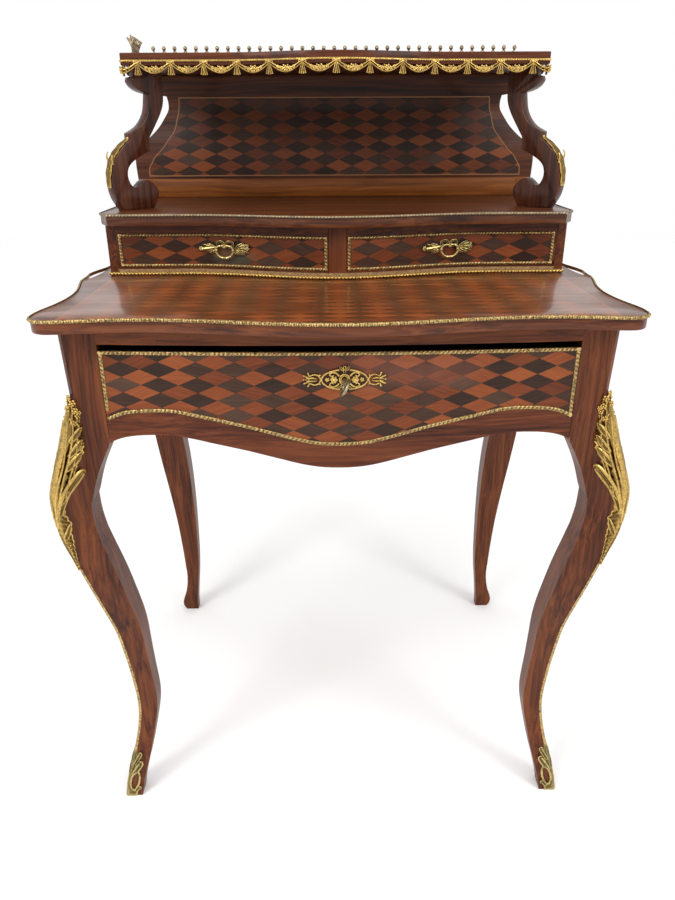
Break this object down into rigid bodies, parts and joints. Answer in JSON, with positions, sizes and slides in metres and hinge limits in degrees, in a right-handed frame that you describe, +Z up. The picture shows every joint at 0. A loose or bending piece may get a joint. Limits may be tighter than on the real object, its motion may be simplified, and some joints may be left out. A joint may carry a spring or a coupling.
{
  "type": "bonheur du jour",
  "caption": "Small lady's writing desk on cabriole legs, with lozenge marquetry, one main drawer, two small drawers under a shelf, an upper shelf on scroll brackets, and bronze mounts.",
  "frame": {"origin": "centre of the footprint on the floor", "axes": "+Z up, +X to the desk's right as seen from the front, +Y to the back"},
  "size_m": [0.7197, 0.5453, 1.06],
  "materials": {
    "rosewood": "gloss",
    "lozenge_marquetry": "gloss",
    "oak_lining": "matte",
    "gilt_bronze": "satin",
    "lock_steel": "satin"
  },
  "bodies": {
    "carcase": {"leg_front_left": "rosewood", "leg_front_right": "rosewood", "leg_rear_left": "rosewood", "leg_rear_right": "rosewood", "side_apron_left": "lozenge_marquetry", "side_apron_right": "lozenge_marquetry", "back_rail": "oak_lining", "drawer_runner_left": "oak_lining", "drawer_runner_right": "oak_lining", "front_top_rail": "rosewood", "desk_top": "lozenge_marquetry", "desk_top_edging": "gilt_bronze", "case_bottom": "oak_lining", "case_side_left": "rosewood", "case_side_right": "rosewood", "case_back": "oak_lining", "case_divider": "rosewood", "case_base_moulding": "gilt_bronze", "mid_shelf": "rosewood", "mid_shelf_edging": "gilt_bronze", "bracket_left": "rosewood", "bracket_right": "rosewood", "bracket_mount_left": "gilt_bronze", "bracket_mount_right": "gilt_bronze", "back_panel": "lozenge_marquetry", "top_shelf": "rosewood", "shelf_garland": "gilt_bronze", "shelf_gallery": "gilt_bronze", "knee_mount_left": "gilt_bronze", "knee_mount_right": "gilt_bronze", "sabot_left": "gilt_bronze", "sabot_right": "gilt_bronze", "leg_fillet_left": "gilt_bronze", "leg_fillet_right": "gilt_bronze"},
    "main_drawer": {"main_drawer_front": "lozenge_marquetry", "main_drawer_side_left": "oak_lining", "main_drawer_side_right": "oak_lining", "main_drawer_back": "oak_lining", "main_drawer_bottom": "oak_lining", "main_drawer_beading": "gilt_bronze", "lock_case": "lock_steel", "escutcheon": "gilt_bronze"},
    "lock_bolt": {"lock_bolt": "lock_steel"},
    "key": {"key": "lock_steel"},
    "small_drawer_left": {"small_drawer_front_left": "lozenge_marquetry", "small_drawer_inner_side_left": "oak_lining", "small_drawer_outer_side_left": "oak_lining", "small_drawer_back_left": "oak_lining", "small_drawer_bottom_left": "oak_lining", "small_drawer_beading_left": "gilt_bronze", "handle_plate_left": "gilt_bronze"},
    "small_drawer_right": {"small_drawer_front_right": "lozenge_marquetry", "small_drawer_inner_side_right": "oak_lining", "small_drawer_outer_side_right": "oak_lining", "small_drawer_back_right": "oak_lining", "small_drawer_bottom_right": "oak_lining", "small_drawer_beading_right": "gilt_bronze", "handle_plate_right": "gilt_bronze"},
    "bail_left": {"handle_bail_left": "gilt_bronze"},
    "bail_right": {"handle_bail_right": "gilt_bronze"}
  },
  "joints": [
    {"name": "main_drawer_slide", "type": "slide", "parent": "carcase", "child": "main_drawer", "axis": [0, -1, 0], "range_m": [0, 0.3]},
    {"name": "small_drawer_left_slide", "type": "slide", "parent": "carcase", "child": "small_drawer_left", "axis": [0, -1, 0], "range_m": [0, 0.14]},
    {"name": "small_drawer_right_slide", "type": "slide", "parent": "carcase", "child": "small_drawer_right", "axis": [0, -1, 0], "range_m": [0, 0.14]},
    {"name": "bail_left_hinge", "type": "hinge", "parent": "small_drawer_left", "child": "bail_left", "pos_m": [-0.15736, 0.00482, 0.792], "axis": [-0.974, 0.2267, 0], "range_deg": [0, 85]},
    {"name": "bail_right_hinge", "type": "hinge", "parent": "small_drawer_right", "child": "bail_right", "pos_m": [0.15736, 0.00482, 0.792], "axis": [-0.974, -0.2267, 0], "range_deg": [0, 85]},
    {"name": "key_turn", "type": "hinge", "parent": "main_drawer", "child": "key", "pos_m": [0.005, -0.2, 0.673], "axis": [0, 1, 0], "range_deg": [0, 90]},
    {"name": "lock_bolt_slide", "type": "slide", "parent": "main_drawer", "child": "lock_bolt", "axis": [0, 0, 1], "range_m": [0, 0.014]}
  ],
  "couplings": [
    {"joint": "lock_bolt_slide", "follows": "key_turn", "m_per_rad": 0.0089127}
  ]
}
